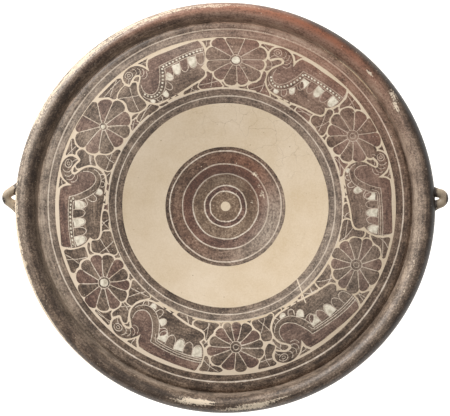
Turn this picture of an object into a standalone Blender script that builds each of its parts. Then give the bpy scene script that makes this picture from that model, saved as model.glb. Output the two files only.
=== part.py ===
# Pottery plate: a wheel-thrown dish of fired clay with a thick rolled lip, a low ring foot
# and two small loop handles luted on to the outside of the lip.
# Metres, +Z up. The plate stands on its foot at z = 0, the turning axis is the Z axis
# and the handles lie along X. Run with: blender --background --python part.py

import math

import bmesh
import bpy
from mathutils import Matrix

# Driving dimensions of the dish, from the lip inwards
RIM_RADIUS = 0.1467          # to the outside of the lip, on the handle axis
LIP_WIDTH = 0.0150           # radial width of the rolled lip
LIP_RISE = 0.0086            # crest of the lip above its widest line
LIP_DROP = 0.0072            # underside of the lip below its widest line
LIP_STEP = 0.0033            # widest line of the lip above the foot of its inner side
GROOVE_WIDTH = 0.0016        # crease between the lip and the moulding
GROOVE_DEPTH = 0.0009
MOULDING_WIDTH = 0.0056      # plain moulding between the crease and the painted zone
MOULDING_CROWN = 0.0005      # how far the moulding is domed
RIDGE_RADIUS = 0.0910        # highest line of the painted zone
RIDGE_RISE = 0.0071          # middle of the floor to the ridge
RIM_FALL = 0.0063            # ridge down to the foot of the lip
RIDGE_THICKNESS = 0.0078
FLANGE_THICKNESS = 0.0058    # of the falling zone, beside the lip
TONDO_RADIUS = 0.0720        # plain clay floor in the middle of the dish
FLOOR_THICKNESS = 0.0080     # on the axis
BAND_WIDTH = 0.0109          # dark painted band round the floor
MEDALLION_RADIUS = 0.0420    # painted circle in the middle of the floor

# Driving dimensions of the foot
FOOT_RADIUS = 0.0640         # outside of the ring foot
FOOT_WIDTH = 0.0075
FOOT_EDGE = 0.0012           # rounding of the foot's two lower edges
RECESS_DEPTH = 0.0036        # hollow inside the ring foot

# The pot dried slightly oval: its width across the handle axis over its width along it
FLOOR_OVAL = 0.993
RIM_OVAL = 0.977

# Driving dimensions of the loop handles
HANDLE_LENGTH = 0.0093       # lip to the tip of a handle
HANDLE_DROP = 0.0005         # middle of the roots below the lip's widest line
HANDLE_TILT = math.radians(6)
ROPE_RADIUS = 0.0032         # roll of clay that a handle is bent from
ROOT_SPREAD = 1.45           # how much thicker the roll is where it is luted on
BEND_GAP = 0.0005            # inner radius of the roll's bend at the tip
ROOT_DEPTH = 0.0042          # how far the roots are buried in the lip
HANDLES = {
    # name: direction from the axis, angle that each arm makes with the rim
    "left": (math.radians(177.2), math.radians(58)),
    "right": (math.radians(2.5), math.radians(74)),
}

# Sizes that follow from the driving dimensions
LIP_INNER_RADIUS = RIM_RADIUS - LIP_WIDTH
FLANGE_RADIUS = LIP_INNER_RADIUS - GROOVE_WIDTH
WALL_RADIUS = FLANGE_RADIUS - MOULDING_WIDTH
BAND_RADIUS = TONDO_RADIUS + BAND_WIDTH
FLOOR_HEIGHT = RECESS_DEPTH + FLOOR_THICKNESS
RIDGE_HEIGHT = FLOOR_HEIGHT + RIDGE_RISE
LIP_FOOT_HEIGHT = RIDGE_HEIGHT - RIM_FALL
LIP_MID_HEIGHT = LIP_FOOT_HEIGHT + LIP_STEP
FOOT_INNER_RADIUS = FOOT_RADIUS - FOOT_WIDTH
HANDLE_ROOT = RIM_RADIUS - ROOT_DEPTH
HANDLE_TIP = RIM_RADIUS + HANDLE_LENGTH - ROPE_RADIUS
BEND_RADIUS = ROPE_RADIUS + BEND_GAP

# Fineness of the faceted solid
TURN_STEPS = 96
LIP_STEPS = 14
UNDER_LIP_STEPS = 5
ZONE_STEPS = 4
BACK_STEPS = 4
CORNER_STEPS = 2
ARM_STEPS = 4
BEND_STEPS = 8
ROPE_RESOLUTION = 4
MERGE_DISTANCE = 0.00002
SHARP_ANGLE = math.radians(40)

CLAY_COLOUR = (0.62, 0.51, 0.37, 1.0)
SLIP_COLOUR = (0.12, 0.085, 0.065, 1.0)
CLAY_SLOT, SLIP_SLOT = 0, 1


def clear_scene():
    for old in list(bpy.data.objects):
        bpy.data.objects.remove(old, do_unlink=True)


def make_collection(name):
    collection = bpy.data.collections.new(name)
    bpy.context.scene.collection.children.link(collection)
    return collection


def make_material(name, colour, roughness):
    material = bpy.data.materials.new(name)
    material.use_nodes = True
    shader = material.node_tree.nodes["Principled BSDF"]
    shader.inputs["Base Color"].default_value = colour
    shader.inputs["Roughness"].default_value = roughness
    shader.inputs["Metallic"].default_value = 0.0
    return material


def arc(centre, radii, start, end, steps):
    """Points of an ellipse from one angle to another, in radians from +radius."""
    points = []
    for step in range(steps + 1):
        angle = start + (end - start) * step / steps
        points.append((centre[0] + radii[0] * math.cos(angle),
                       centre[1] + radii[1] * math.sin(angle)))
    return points


def top_height(radius):
    """Height of the top surface: a shallow bowl that rises to a ridge, then falls to the lip."""
    if radius <= RIDGE_RADIUS:
        along = (radius / RIDGE_RADIUS) ** 1.6
        return FLOOR_HEIGHT + RIDGE_RISE * along * along * (3.0 - 2.0 * along)
    along = (radius - RIDGE_RADIUS) / (LIP_INNER_RADIUS - RIDGE_RADIUS)
    return RIDGE_HEIGHT - RIM_FALL * along ** 1.6


def back_height(radius):
    """Height of the underside between the foot and the lip."""
    along = max(0.0, (radius - RIDGE_RADIUS) / (FLANGE_RADIUS - RIDGE_RADIUS))
    thickness = RIDGE_THICKNESS + (FLANGE_THICKNESS - RIDGE_THICKNESS) * along
    return top_height(radius) - thickness


def floor_points():
    """The floor, the band round it and the painted zone, from the axis outwards."""
    radii = [0.0, MEDALLION_RADIUS / 2, MEDALLION_RADIUS]
    radii += [(MEDALLION_RADIUS + TONDO_RADIUS) / 2, TONDO_RADIUS, BAND_RADIUS]
    for step in range(1, ZONE_STEPS + 1):
        radii.append(BAND_RADIUS + (WALL_RADIUS - BAND_RADIUS) * step / ZONE_STEPS)
    return [(radius, top_height(radius)) for radius in radii]


def moulding_points():
    """The slightly domed moulding beside the lip, and the crease between the two."""
    points = []
    for share, crown in ((0.15, 0.7), (0.5, 1.0), (0.85, 0.7), (1.0, 0.0)):
        radius = WALL_RADIUS + MOULDING_WIDTH * share
        points.append((radius, top_height(radius) + MOULDING_CROWN * crown))
    bottom = LIP_INNER_RADIUS - GROOVE_WIDTH / 3
    points.append((bottom, top_height(bottom) - GROOVE_DEPTH))
    return points


def lip_points():
    """The rolled lip: from the crease over the crest and down to its underside."""
    centre = (RIM_RADIUS - LIP_WIDTH / 2, LIP_MID_HEIGHT)
    above = arc(centre, (LIP_WIDTH / 2, LIP_RISE), math.pi, 0.0, LIP_STEPS)
    below = arc(centre, (LIP_WIDTH / 2, LIP_DROP), 0.0, -math.pi / 2, UNDER_LIP_STEPS)
    return above + below[1:]


def back_points():
    """The back of the dish, from under the lip inwards to the foot."""
    end = FOOT_RADIUS + 2 * FOOT_EDGE
    points = []
    for step in range(BACK_STEPS + 1):
        radius = FLANGE_RADIUS + (end - FLANGE_RADIUS) * step / BACK_STEPS
        points.append((radius, back_height(radius)))
    return points


def foot_points():
    """The ring foot and the recess inside it, inwards to the axis."""
    edge = (FOOT_EDGE, FOOT_EDGE)
    shoulder = back_height(FOOT_RADIUS) - FOOT_EDGE / 2
    outer = arc((FOOT_RADIUS - FOOT_EDGE, FOOT_EDGE), edge, 0.0, -math.pi / 2, CORNER_STEPS)
    inner = arc((FOOT_INNER_RADIUS + FOOT_EDGE, FOOT_EDGE), edge,
                -math.pi / 2, -math.pi, CORNER_STEPS)
    recess = [(FOOT_INNER_RADIUS - FOOT_EDGE / 2, RECESS_DEPTH), (0.0, RECESS_DEPTH)]
    return [(FOOT_RADIUS + FOOT_EDGE / 2, shoulder)] + outer + inner + recess


def oval_at(radius):
    """Width of the pot across the handles over its width along them, at this radius."""
    along = (radius - WALL_RADIUS) / (RIM_RADIUS - WALL_RADIUS)
    along = min(max(along, 0.0), 1.0)
    return FLOOR_OVAL + (RIM_OVAL - FLOOR_OVAL) * along * along * (3.0 - 2.0 * along)


def turn_profile(points):
    """Turns a profile in the XZ plane once round Z and returns the closed mesh."""
    mesh = bpy.data.meshes.new("dish profile")
    edges = [(index, index + 1) for index in range(len(points) - 1)]
    mesh.from_pydata([(x, 0.0, z) for x, z in points], edges, [])
    profile = bpy.data.objects.new("dish profile", mesh)
    bpy.context.scene.collection.objects.link(profile)
    screw = profile.modifiers.new("turn", "SCREW")
    screw.axis = "Z"
    screw.angle = math.tau
    screw.steps = TURN_STEPS
    screw.render_steps = TURN_STEPS
    screw.use_merge_vertices = True
    screw.merge_threshold = MERGE_DISTANCE
    bpy.context.view_layer.update()
    evaluated = profile.evaluated_get(bpy.context.evaluated_depsgraph_get())
    turned = bpy.data.meshes.new_from_object(evaluated)
    bpy.data.objects.remove(profile, do_unlink=True)
    return turned


def paint_bands(mesh):
    """Gives the dark painted rings and the lip the slip's material."""
    for face in mesh.polygons:
        radius = math.hypot(face.center.x, face.center.y / FLOOR_OVAL)
        on_top = face.normal.z > 0.0
        in_band = TONDO_RADIUS < radius < BAND_RADIUS or radius > WALL_RADIUS
        if on_top and (radius < MEDALLION_RADIUS or in_band):
            face.material_index = SLIP_SLOT


def make_dish(collection, materials):
    points = floor_points() + moulding_points() + lip_points() + back_points() + foot_points()
    mesh = turn_profile(points)
    mesh.name = "plate"
    for vertex in mesh.vertices:
        vertex.co.y *= oval_at(math.hypot(vertex.co.x, vertex.co.y))
    for material in materials:
        mesh.materials.append(material)
    paint_bands(mesh)
    plate = bpy.data.objects.new("plate", mesh)
    collection.objects.link(plate)
    return plate


def handle_path(arm_angle):
    """Middle line of a wishbone loop: along the rim, outwards from the dish's axis."""
    turn = math.pi / 2 - arm_angle
    bend = arc((0.0, HANDLE_TIP - BEND_RADIUS), (BEND_RADIUS, BEND_RADIUS),
               turn, math.pi - turn, BEND_STEPS)
    bend_offset, bend_reach = bend[0]
    spread = (bend_reach - HANDLE_ROOT) * math.tan(turn)
    arm = []
    for step in range(ARM_STEPS):
        along = step / ARM_STEPS
        reach = HANDLE_ROOT + (bend_reach - HANDLE_ROOT) * along
        arm.append((bend_offset + spread * (1.0 - along), reach))
    far_arm = [(-offset, reach) for offset, reach in reversed(arm)]
    return arm + bend + far_arm


def make_handle(name, direction, arm_angle, collection):
    """A roll of clay bent into a loop, thickened at both roots, as one closed mesh."""
    path = handle_path(arm_angle)
    curve = bpy.data.curves.new(name, "CURVE")
    curve.dimensions = "3D"
    curve.bevel_depth = ROPE_RADIUS
    curve.bevel_resolution = ROPE_RESOLUTION
    curve.use_fill_caps = True
    spline = curve.splines.new("POLY")
    spline.points.add(len(path) - 1)
    for point, (offset, reach) in zip(spline.points, path):
        out = reach - HANDLE_ROOT
        height = LIP_MID_HEIGHT - HANDLE_DROP + out * math.tan(HANDLE_TILT)
        point.co = (reach, offset, height, 1.0)
        closeness = 1.0 - out / (HANDLE_TIP - HANDLE_ROOT)
        point.radius = 1.0 + (ROOT_SPREAD - 1.0) * closeness ** 2
    loop = bpy.data.objects.new(name, curve)
    loop.matrix_world = Matrix.Rotation(direction, 4, "Z")
    bpy.context.scene.collection.objects.link(loop)
    bpy.context.view_layer.update()

    evaluated = loop.evaluated_get(bpy.context.evaluated_depsgraph_get())
    mesh = bpy.data.meshes.new_from_object(evaluated)
    welded = bmesh.new()
    welded.from_mesh(mesh)
    bmesh.ops.remove_doubles(welded, verts=welded.verts, dist=MERGE_DISTANCE)
    bmesh.ops.recalc_face_normals(welded, faces=welded.faces)
    welded.to_mesh(mesh)
    welded.free()

    handle = bpy.data.objects.new(name, mesh)
    handle.matrix_world = loop.matrix_world
    bpy.data.objects.remove(loop, do_unlink=True)
    handle.hide_render = True
    handle.display_type = "WIRE"
    collection.objects.link(handle)
    return handle


def join_handle(plate, handle):
    joint = plate.modifiers.new(handle.name, "BOOLEAN")
    joint.operation = "UNION"
    joint.solver = "EXACT"
    joint.object = handle


def main():
    clear_scene()
    parts = make_collection("pottery plate")
    helpers = make_collection("handle rolls")
    clay = make_material("fired clay", CLAY_COLOUR, 0.75)
    slip = make_material("iron-rich slip", SLIP_COLOUR, 0.5)
    plate = make_dish(parts, (clay, slip))
    for name, (direction, arm_angle) in HANDLES.items():
        roll = make_handle("handle " + name, direction, arm_angle, helpers)
        roll.data.materials.append(clay)
        join_handle(plate, roll)
    plate.data.shade_smooth()
    plate.data.set_sharp_from_angle(angle=SHARP_ANGLE)


main()
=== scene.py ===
# Pottery plate, its looks: a turned dish with a rolled lip, painted in dark and purple-red slip
# with a ring of water birds and rosettes, and worn by long burial.
# The CAD frame is in metres. The sizes here are in millimetres, as on the bench.
import math
import random

import bmesh
import bpy
import numpy as np
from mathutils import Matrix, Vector, noise
from mathutils.geometry import delaunay_2d_cdt


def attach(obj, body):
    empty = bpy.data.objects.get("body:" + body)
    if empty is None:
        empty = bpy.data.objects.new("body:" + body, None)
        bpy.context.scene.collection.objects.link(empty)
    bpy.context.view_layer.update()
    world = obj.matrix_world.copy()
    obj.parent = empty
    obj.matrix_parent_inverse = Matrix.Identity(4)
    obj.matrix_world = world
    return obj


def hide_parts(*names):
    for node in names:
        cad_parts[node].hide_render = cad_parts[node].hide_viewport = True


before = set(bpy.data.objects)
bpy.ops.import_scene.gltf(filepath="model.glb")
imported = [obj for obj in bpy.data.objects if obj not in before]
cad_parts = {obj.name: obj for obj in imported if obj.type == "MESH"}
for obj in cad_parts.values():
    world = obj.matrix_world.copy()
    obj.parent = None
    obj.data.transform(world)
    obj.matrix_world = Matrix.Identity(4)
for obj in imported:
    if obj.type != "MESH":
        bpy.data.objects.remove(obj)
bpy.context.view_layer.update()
print("frame loaded")

mm = 0.001

# shared helpers


def deselectAll():
    if bpy.context.object and bpy.context.object.mode != "OBJECT":
        bpy.ops.object.mode_set(mode="OBJECT")
    bpy.ops.object.select_all(action="DESELECT")


def makeActive(piece):
    deselectAll()
    piece.select_set(True)
    bpy.context.view_layer.objects.active = piece


def editAll():
    bpy.ops.object.mode_set(mode="EDIT")
    bpy.ops.mesh.select_all(action="SELECT")


def hexColour(text):
    # sRGB hex to the linear values that the shader wants
    values = [int(text[i:i + 2], 16) / 255 for i in (0, 2, 4)]
    return tuple(v / 12.92 if v <= 0.04045 else ((v + 0.055) / 1.055) ** 2.4 for v in values) + (1.0,)


def smooth(edge0, edge1, value):
    along = np.clip((value - edge0) / (edge1 - edge0), 0.0, 1.0)
    return along * along * (3.0 - 2.0 * along)


# dish

dish = {
    "segments": 480,           # round the plate
    "rimRadius": 146.7,
    "lipWidth": 15.0,
    "lipRise": 8.6,
    "lipDrop": 7.2,
    "lipStep": 3.3,
    "grooveWidth": 1.6,
    "grooveDepth": 0.9,
    "mouldingWidth": 5.6,
    "mouldingCrown": 0.5,
    "ridgeRadius": 91.0,
    "ridgeRise": 7.1,
    "rimFall": 6.3,
    "slopeCurve": 1.6,         # power that bends both slopes of the ridge
    "ridgeThickness": 7.8,
    "flangeThickness": 5.8,
    "floorThickness": 8.0,
    "footRadius": 64.0,
    "footWidth": 7.5,
    "footEdge": 1.2,
    "recessDepth": 3.6,
    "floorOval": 0.993,
    "rimOval": 0.977,
    "topSkin": 1.3,            # what lies this near to the top's curve belongs to the top
    "lipSide": 6.0,            # the lip's faces start this far below its widest line
    "smoothAngle": 38.0,       # edges sharper than this stay sharp to the eye
}
lipInner = dish["rimRadius"] - dish["lipWidth"]
lipCrest = dish["rimRadius"] - dish["lipWidth"] / 2
flangeRadius = lipInner - dish["grooveWidth"]
wallRadius = flangeRadius - dish["mouldingWidth"]
floorHeight = dish["recessDepth"] + dish["floorThickness"]
topLevel = floorHeight + 2.5                # from here up, a point of the zone is on its top
ridgeHeight = floorHeight + dish["ridgeRise"]
lipMid = ridgeHeight - dish["rimFall"] + dish["lipStep"]
friezeInner, friezeOuter = 81.8, 119.0      # the painted zone between the two rings of bands
outerLine = (123.8, 124.8)                  # scratched through the outer band

# what the bands on the top are painted with, each up to its outer radius
clay, slip, purple, white, scratch, faint, underClay = range(7)
topBands = [
    (3.4, clay), (10.4, faint), (11.3, scratch), (14.2, purple), (15.1, scratch), (22.6, faint),
    (23.5, scratch), (29.6, purple), (30.5, scratch), (38.6, slip), (39.5, scratch), (42.0, slip),
    (71.8, clay), (76.35, slip), (77.15, scratch), (81.3, slip), (friezeInner, scratch),
    (friezeOuter, clay), (outerLine[0], slip), (outerLine[1], scratch), (130.5, slip),
]
backPaint = {
    # slip out of sight of the photo
    "lipEnd": (-62.0, -170.0),     # on the lip as far as here, in degrees as lipAngle counts them
    "foot": (9.0, 3.0, 6.0),       # inwards and outwards from the foot's edge, and up
    "band": (84.0, 92.0),
}


def topHeight(radius):
    radius = np.asarray(radius, float)
    along = (np.clip(radius, 0, dish["ridgeRadius"]) / dish["ridgeRadius"]) ** dish["slopeCurve"]
    bowl = floorHeight + dish["ridgeRise"] * along * along * (3.0 - 2.0 * along)
    down = np.clip((radius - dish["ridgeRadius"]) / (lipInner - dish["ridgeRadius"]), 0.0, None)
    fall = dish["rimFall"] * down ** dish["slopeCurve"]
    return np.where(radius <= dish["ridgeRadius"], bowl, ridgeHeight - fall)


def onCurve(radii):
    return [(radius, float(topHeight(radius))) for radius in radii]


def backHeight(radius):
    along = max(0.0, (radius - dish["ridgeRadius"]) / (flangeRadius - dish["ridgeRadius"]))
    thickness = dish["ridgeThickness"] + (dish["flangeThickness"] - dish["ridgeThickness"]) * along
    return float(topHeight(radius)) - thickness


def ovalAt(radius):
    along = smooth(wallRadius, dish["rimRadius"], radius)
    return dish["floorOval"] + (dish["rimOval"] - dish["floorOval"]) * along


def startRing(name, radius):
    # a circle of edges, standing in edit mode with all of it selected
    deselectAll()
    bpy.ops.mesh.primitive_circle_add(vertices=dish["segments"], radius=radius * mm, fill_type="NOTHING",
                                      location=(0, 0, 0))
    piece = bpy.context.object
    piece.name = name
    editAll()
    height = float(topHeight(radius))
    bpy.ops.transform.translate(value=(0, 0, height * mm))
    return piece, (radius, height)


def pullRings(last, points):
    # each step draws the selected ring out to the next radius and height
    for radius, height in points:
        bpy.ops.mesh.extrude_region_move(TRANSFORM_OT_translate={"value": (0, 0, (height - last[1]) * mm)})
        factor = radius / last[0]
        bpy.ops.transform.resize(value=(factor, factor, 1), center_override=(0, 0, 0))
        last = (radius, height)


def arcPoints(centre, radii, start, end, steps):
    turns = [math.radians(start + (end - start) * i / steps) for i in range(steps + 1)]
    return [(centre[0] + radii[0] * math.cos(t), centre[1] + radii[1] * math.sin(t)) for t in turns]


def makeDish():
    inside, last = startRing("plateBody", friezeInner)
    limits = [radius for radius, colour in topBands if radius < friezeInner]
    between = [79.2, 74.1, 69.0, 64.5, 60.0, 55.5, 51.0, 46.5, 35.9, 33.1, 27.7, 25.5, 19.0, 7.0, 1.4]
    pullRings(last, onCurve(sorted(limits + between, reverse=True)))
    bpy.ops.mesh.merge(type="CENTER")
    bpy.ops.object.mode_set(mode="OBJECT")

    outside, last = startRing("plateOutside", friezeOuter)
    rings = onCurve((121.4, outerLine[0]))
    for share in (0.05, 0.15, 0.3, 0.5, 0.7, 0.85, 0.95):
        crown = dish["mouldingCrown"] * (1.0 - (2.0 * share - 1.0) ** 4)
        radius = wallRadius + dish["mouldingWidth"] * share
        if radius > outerLine[1] - 0.1:
            rings.append((radius, float(topHeight(radius)) + crown))
    rings += onCurve((flangeRadius,))
    rings.append((flangeRadius + 0.5, float(topHeight(flangeRadius)) - dish["grooveDepth"] * 0.8))
    rings.append((lipInner - 0.5, float(topHeight(lipInner)) - dish["grooveDepth"]))
    half = dish["lipWidth"] / 2
    rings += arcPoints((lipCrest, lipMid), (half, dish["lipRise"]), 180, 0, 26)
    rings += arcPoints((lipCrest, lipMid), (half, dish["lipDrop"]), 0, -90, 8)[1:]
    backEnd = dish["footRadius"] + 2 * dish["footEdge"]
    for i in range(9):
        radius = flangeRadius + (backEnd - flangeRadius) * i / 8
        rings.append((radius, backHeight(radius)))
    edge = dish["footEdge"]
    footInner = dish["footRadius"] - dish["footWidth"]
    rings.append((dish["footRadius"] + edge / 2, backHeight(dish["footRadius"]) - edge / 2))
    rings += arcPoints((dish["footRadius"] - edge, edge), (edge, edge), 0, -90, 4)
    rings += arcPoints((footInner + edge, edge), (edge, edge), -90, -180, 4)
    rings += [(radius, dish["recessDepth"]) for radius in (footInner - edge / 2, 40.0, 20.0, 5.0)]
    pullRings(last, rings)
    bpy.ops.mesh.merge(type="CENTER")
    bpy.ops.object.mode_set(mode="OBJECT")
    return inside, outside, [last] + rings


def meshPoints(mesh):
    points = np.empty(len(mesh.vertices) * 3)
    mesh.vertices.foreach_get("co", points)
    return points.reshape(-1, 3) / mm


def faceCentres(mesh):
    centres = np.empty(len(mesh.polygons) * 3)
    mesh.polygons.foreach_get("center", centres)
    return centres.reshape(-1, 3) / mm


def lipAngle(radius, height):
    # 0 on the widest line, 90 on the crest, 180 at the inner foot, below zero underneath
    return np.degrees(np.arctan2((height - lipMid) / dish["lipRise"],
                                 (radius - lipCrest) / (dish["lipWidth"] / 2)))


def paintBands(mesh):
    # one material slot for each band, from where the face lies
    centres = faceCentres(mesh)
    radius, height = np.hypot(centres[:, 0], centres[:, 1]), centres[:, 2]
    chosen = np.full(len(centres), underClay)
    onTop = (height > topHeight(radius) - dish["topSkin"]) & (radius < flangeRadius + 0.05)
    for limit, material in reversed(topBands):
        chosen[onTop & (radius < limit)] = material
    turn = lipAngle(radius, height)
    onLip = (radius > flangeRadius) & (height > lipMid - dish["lipDrop"] * 0.99)
    groove = (radius > flangeRadius) & (radius < lipInner) & (height > lipMid - dish["lipSide"])
    outerEnd, innerEnd = backPaint["lipEnd"]
    chosen[groove | (onLip & ((turn > outerEnd) | (turn < innerEnd)))] = slip
    inwards, outwards, up = backPaint["foot"]
    foot = (radius > dish["footRadius"] - inwards) & (radius < dish["footRadius"] + outwards) & (height < up)
    bandInner, bandOuter = backPaint["band"]
    band = ~onLip & (radius > bandInner) & (radius < bandOuter)
    chosen[~onTop & (foot | band)] = slip
    mesh.polygons.foreach_set("material_index", chosen.astype(np.int32))


insideDish, outsideDish, outsideRings = makeDish()
print("dish turned:", len(insideDish.data.polygons) + len(outsideDish.data.polygons), "faces")

# painted zone

# A figure is a flat outline in plan, in millimetres from the axis. The painter's order is the
# order of the list: a later outline covers an earlier one. Lines are scratched through the slip.
frieze = {
    "inner": 81.9,              # figures stay between these two radii
    "outer": 118.6,
    "birdBase": 82.9,           # the ground that the birds are drawn up from
    "lineDepth": 0.12,          # of a scratched line
    "meanRadius": 101.0,        # where the zone's drawings are true to size
    "fillGap": 1.0,             # clay left between the splashes that fill the ground
    "fillSpacing": 1.7,         # of the points that give the surface its curve
    "fillJitter": (0.2, 0.3),   # of those, in spacings round the ring and in mm across it
}
lineWidths = {"petal": 0.6, "main": 0.5, "quick": 0.45, "edge": 0.42, "small": 0.4}     # scratched
outlines = []                   # (points, material)
scratches = []                  # (points, width)


def curveThrough(points, step=0.8, closed=False):
    # a smooth run through the given points, about step apart
    pts = [np.array(p, float) for p in points]
    if closed:
        pts = [pts[-1]] + pts + [pts[0], pts[1]]
    else:
        pts = [2 * pts[0] - pts[1]] + pts + [2 * pts[-1] - pts[-2]]
    out = []
    for a, b, c, d in zip(pts, pts[1:], pts[2:], pts[3:]):
        count = max(2, int(np.linalg.norm(c - b) / step))
        for i in range(count):
            t = i / count
            out.append(0.5 * ((2 * b) + (c - a) * t + (2 * a - 5 * b + 4 * c - d) * t * t
                              + (3 * b - a - 3 * c + d) * t ** 3))
    if not closed:
        out.append(pts[-2])
    return np.array(out)


def runsThrough(runs, step=0.8):
    # several smooth runs joined at corners
    parts = [curveThrough(run, step)[:-1] for run in runs]
    return np.vstack(parts)


def polar(angle, radius):
    return np.stack([radius * np.cos(angle), radius * np.sin(angle)], axis=-1)


birds = [
    # middle of the bird in degrees, its span, +1 where it faces clockwise, feathers from the tail
    # (w white, r purple-red, d dark), share of the wing band with dots, seed of its own small bends
    (58.0, 32.0, -1, "wrwrwrwrwd", 1.0, 11),
    (113.2, 31.5, -1, "dwrwrwdwdw", 1.0, 12),
    (179.0, 34.0, 1, "wdwdwddwdd", 0.5, 13),
    (244.0, 36.0, 1, "wdwdwrwdwd", 0.0, 14),
    (306.5, 37.0, 1, "ddwrwrwdwd", 0.0, 15),
    (364.5, 31.0, -1, "wrwdwrwddw", 0.0, 16),
]
birdShape = {
    # u runs along the ground from tail to beak, v up from the inner edge of the zone
    "middle": 34.4,
    "length": 59.6,
    "body": [
        [(9.3, 14.6), (6.4, 18), (4.8, 23), (5.1, 28), (6.3, 32.5), (8.2, 35.0)],
        [(8.2, 35.0), (17, 33.9), (27, 33.2), (36, 33.5), (43, 33.2)],
        [(43, 33.2), (45, 30.4), (46.2, 25.5)],
        [(46.2, 25.5), (47.8, 29.2), (50.6, 32.9), (55.2, 35.1), (60, 34.6), (63.2, 32), (64.2, 28.5),
         (63, 24.8)],
        [(63, 24.8), (59.8, 26.7), (57, 28), (54, 27.3), (53.3, 25), (56, 22), (59.5, 18.5), (61.3, 13.5),
         (60.5, 8.5), (57, 4.2), (51, 2.2), (43, 1.8), (36, 2.0), (29, 3.2), (20, 5), (12, 6.7), (7.6, 9),
         (6.9, 12), (9.3, 14.6)],
    ],
    "bandOuter": [(5, 29), (15, 27.8), (26, 26.6), (38.5, 26), (39.8, 22), (42.2, 17.5), (46, 12.7),
                  (50.5, 10), (54.5, 10.2), (57, 12.7), (57.6, 16), (56.6, 19.6)],
    "bandInner": [(5, 26), (15, 24.8), (26, 23.6), (35.4, 23.0), (36.8, 18), (39.8, 12.5), (44.4, 8),
                  (50, 6.1), (55.5, 6.7), (59, 9.5), (60.2, 12.5)],
    "bowEnd": [(54.4, 22.6), (52.2, 25.6), (50, 29.0), (47.5, 27.2), (46.2, 25.1), (44.9, 30.4), (43, 32.9)],
    "bowBack": [(43, 32.9), (36, 33.2), (27, 32.9), (17, 33.6), (8.4, 34.6)],
    "breastFeathers": [
        # root, direction, width, length
        ((36.6, 17.6), (-0.75, -0.6), 5.2, 5.6), ((39.8, 11.9), (-0.55, -0.8), 5.0, 5.4),
        ((44.4, 7.6), (-0.35, -0.95), 4.6, 4.6), ((50.2, 5.8), (0.05, -1), 4.4, 3.3),
        ((55.6, 6.6), (0.6, -0.8), 3.8, 3.0),
    ],
    "neckLines": [
        # middle of each crescent, where it bulges to, its radius
        ((55.9, 31.0), 190, 3.2), ((53.6, 29.9), 205, 3.4), ((51.6, 28.4), 220, 3.5),
        ((50.4, 26.0), 235, 3.4),
    ],
    "wingEnd": [(6.2, 26.5), (5.9, 30), (7.2, 34.2)],
    "beakLine": [(60.9, 28.4), (62.4, 27.2), (63.3, 25.6)],
    "eye": (59.4, 30.8),
    "legs": (35.0, 41.5),
}


def birdPlacer(middle, span, facing, source):
    # gives the function that carries a point of birdShape to its place in the ring
    stretch = math.radians(span) / birdShape["length"]
    bends = [source.uniform(-1, 1) for i in range(6)]

    def place(points):
        pts = np.atleast_2d(np.array(points, float))
        u, v = pts[:, 0], pts[:, 1]
        # the potter's hand: no two birds are quite alike
        du = 0.7 * bends[0] * np.sin(v / 9 + bends[1] * 3) + 0.6 * bends[2] * np.sin(u / 11)
        dv = 0.6 * bends[3] * np.sin(u / 8 + bends[4] * 3)
        edge = np.clip(np.minimum(v - 1.0, 35.6 - v) / 4, 0, 1)
        angle = math.radians(middle) - facing * (u + du - birdShape["middle"]) * stretch
        radius = frieze["birdBase"] + v + dv * edge
        return polar(angle, np.clip(radius, frieze["inner"], frieze["outer"]))

    return place


def addOutline(points, material):
    outlines.append((np.asarray(points, float), material))


def addScratch(points, kind="main"):
    scratches.append((np.asarray(points, float), lineWidths[kind]))


def insidePolygon(points, polygon):
    # even-odd rule for many points at once
    x, y = points[:, 0], points[:, 1]
    result = np.zeros(len(points), bool)
    x1, y1 = polygon[:, 0], polygon[:, 1]
    x2, y2 = np.roll(x1, -1), np.roll(y1, -1)
    for a, b, c, d in zip(x1, y1, x2, y2):
        if b == d:
            continue
        crosses = (b > y) != (d > y)
        result ^= crosses & (x < (c - a) * (y - b) / (d - b) + a)
    return result


def offsetRun(points, distance):
    # a copy of an open run, moved sideways
    tangent = np.gradient(points, axis=0)
    tangent /= np.maximum(np.linalg.norm(tangent, axis=1)[:, None], 1e-9)
    normal = np.stack([-tangent[:, 1], tangent[:, 0]], axis=1)
    return points + normal * distance


def ovalAround(centre, radii, turn=0.0, count=12, wobble=0.0, source=None):
    out = []
    for i in range(count):
        t = math.tau * i / count
        k = 1.0 + source.uniform(-wobble, wobble) if source else 1.0
        x, y = radii[0] * k * math.cos(t), radii[1] * k * math.sin(t)
        out.append((centre[0] + x * math.cos(turn) - y * math.sin(turn),
                    centre[1] + x * math.sin(turn) + y * math.cos(turn)))
    return out


def drawFeather(place, source, root, direction, width, length, tag):
    # a U-shaped feather that hangs from the band, its round end away from it
    direction = np.array(direction, float) / np.linalg.norm(direction)
    side = np.array([-direction[1], direction[0]])
    root = np.array(root, float)
    toTip = (direction + side * source.uniform(-0.08, 0.08)) * length
    toSide = side * (width / 2)
    half = [(1.0, 0.0), (0.98, 0.45), (0.72, 0.82)]
    run = [root - toSide * across + toTip * down for across, down in half]
    run += [root + toTip] + [root + toSide * across + toTip * down for across, down in reversed(half)]
    placed = place(curveThrough(run, 0.7))
    if tag == "w":
        inner = curveThrough([root + (p - root) * 0.92 + direction * 0.1 for p in run], 0.7)
        addOutline(place(inner), white)
    elif tag == "r":
        addOutline(placed, purple)
    addScratch(placed)


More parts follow.
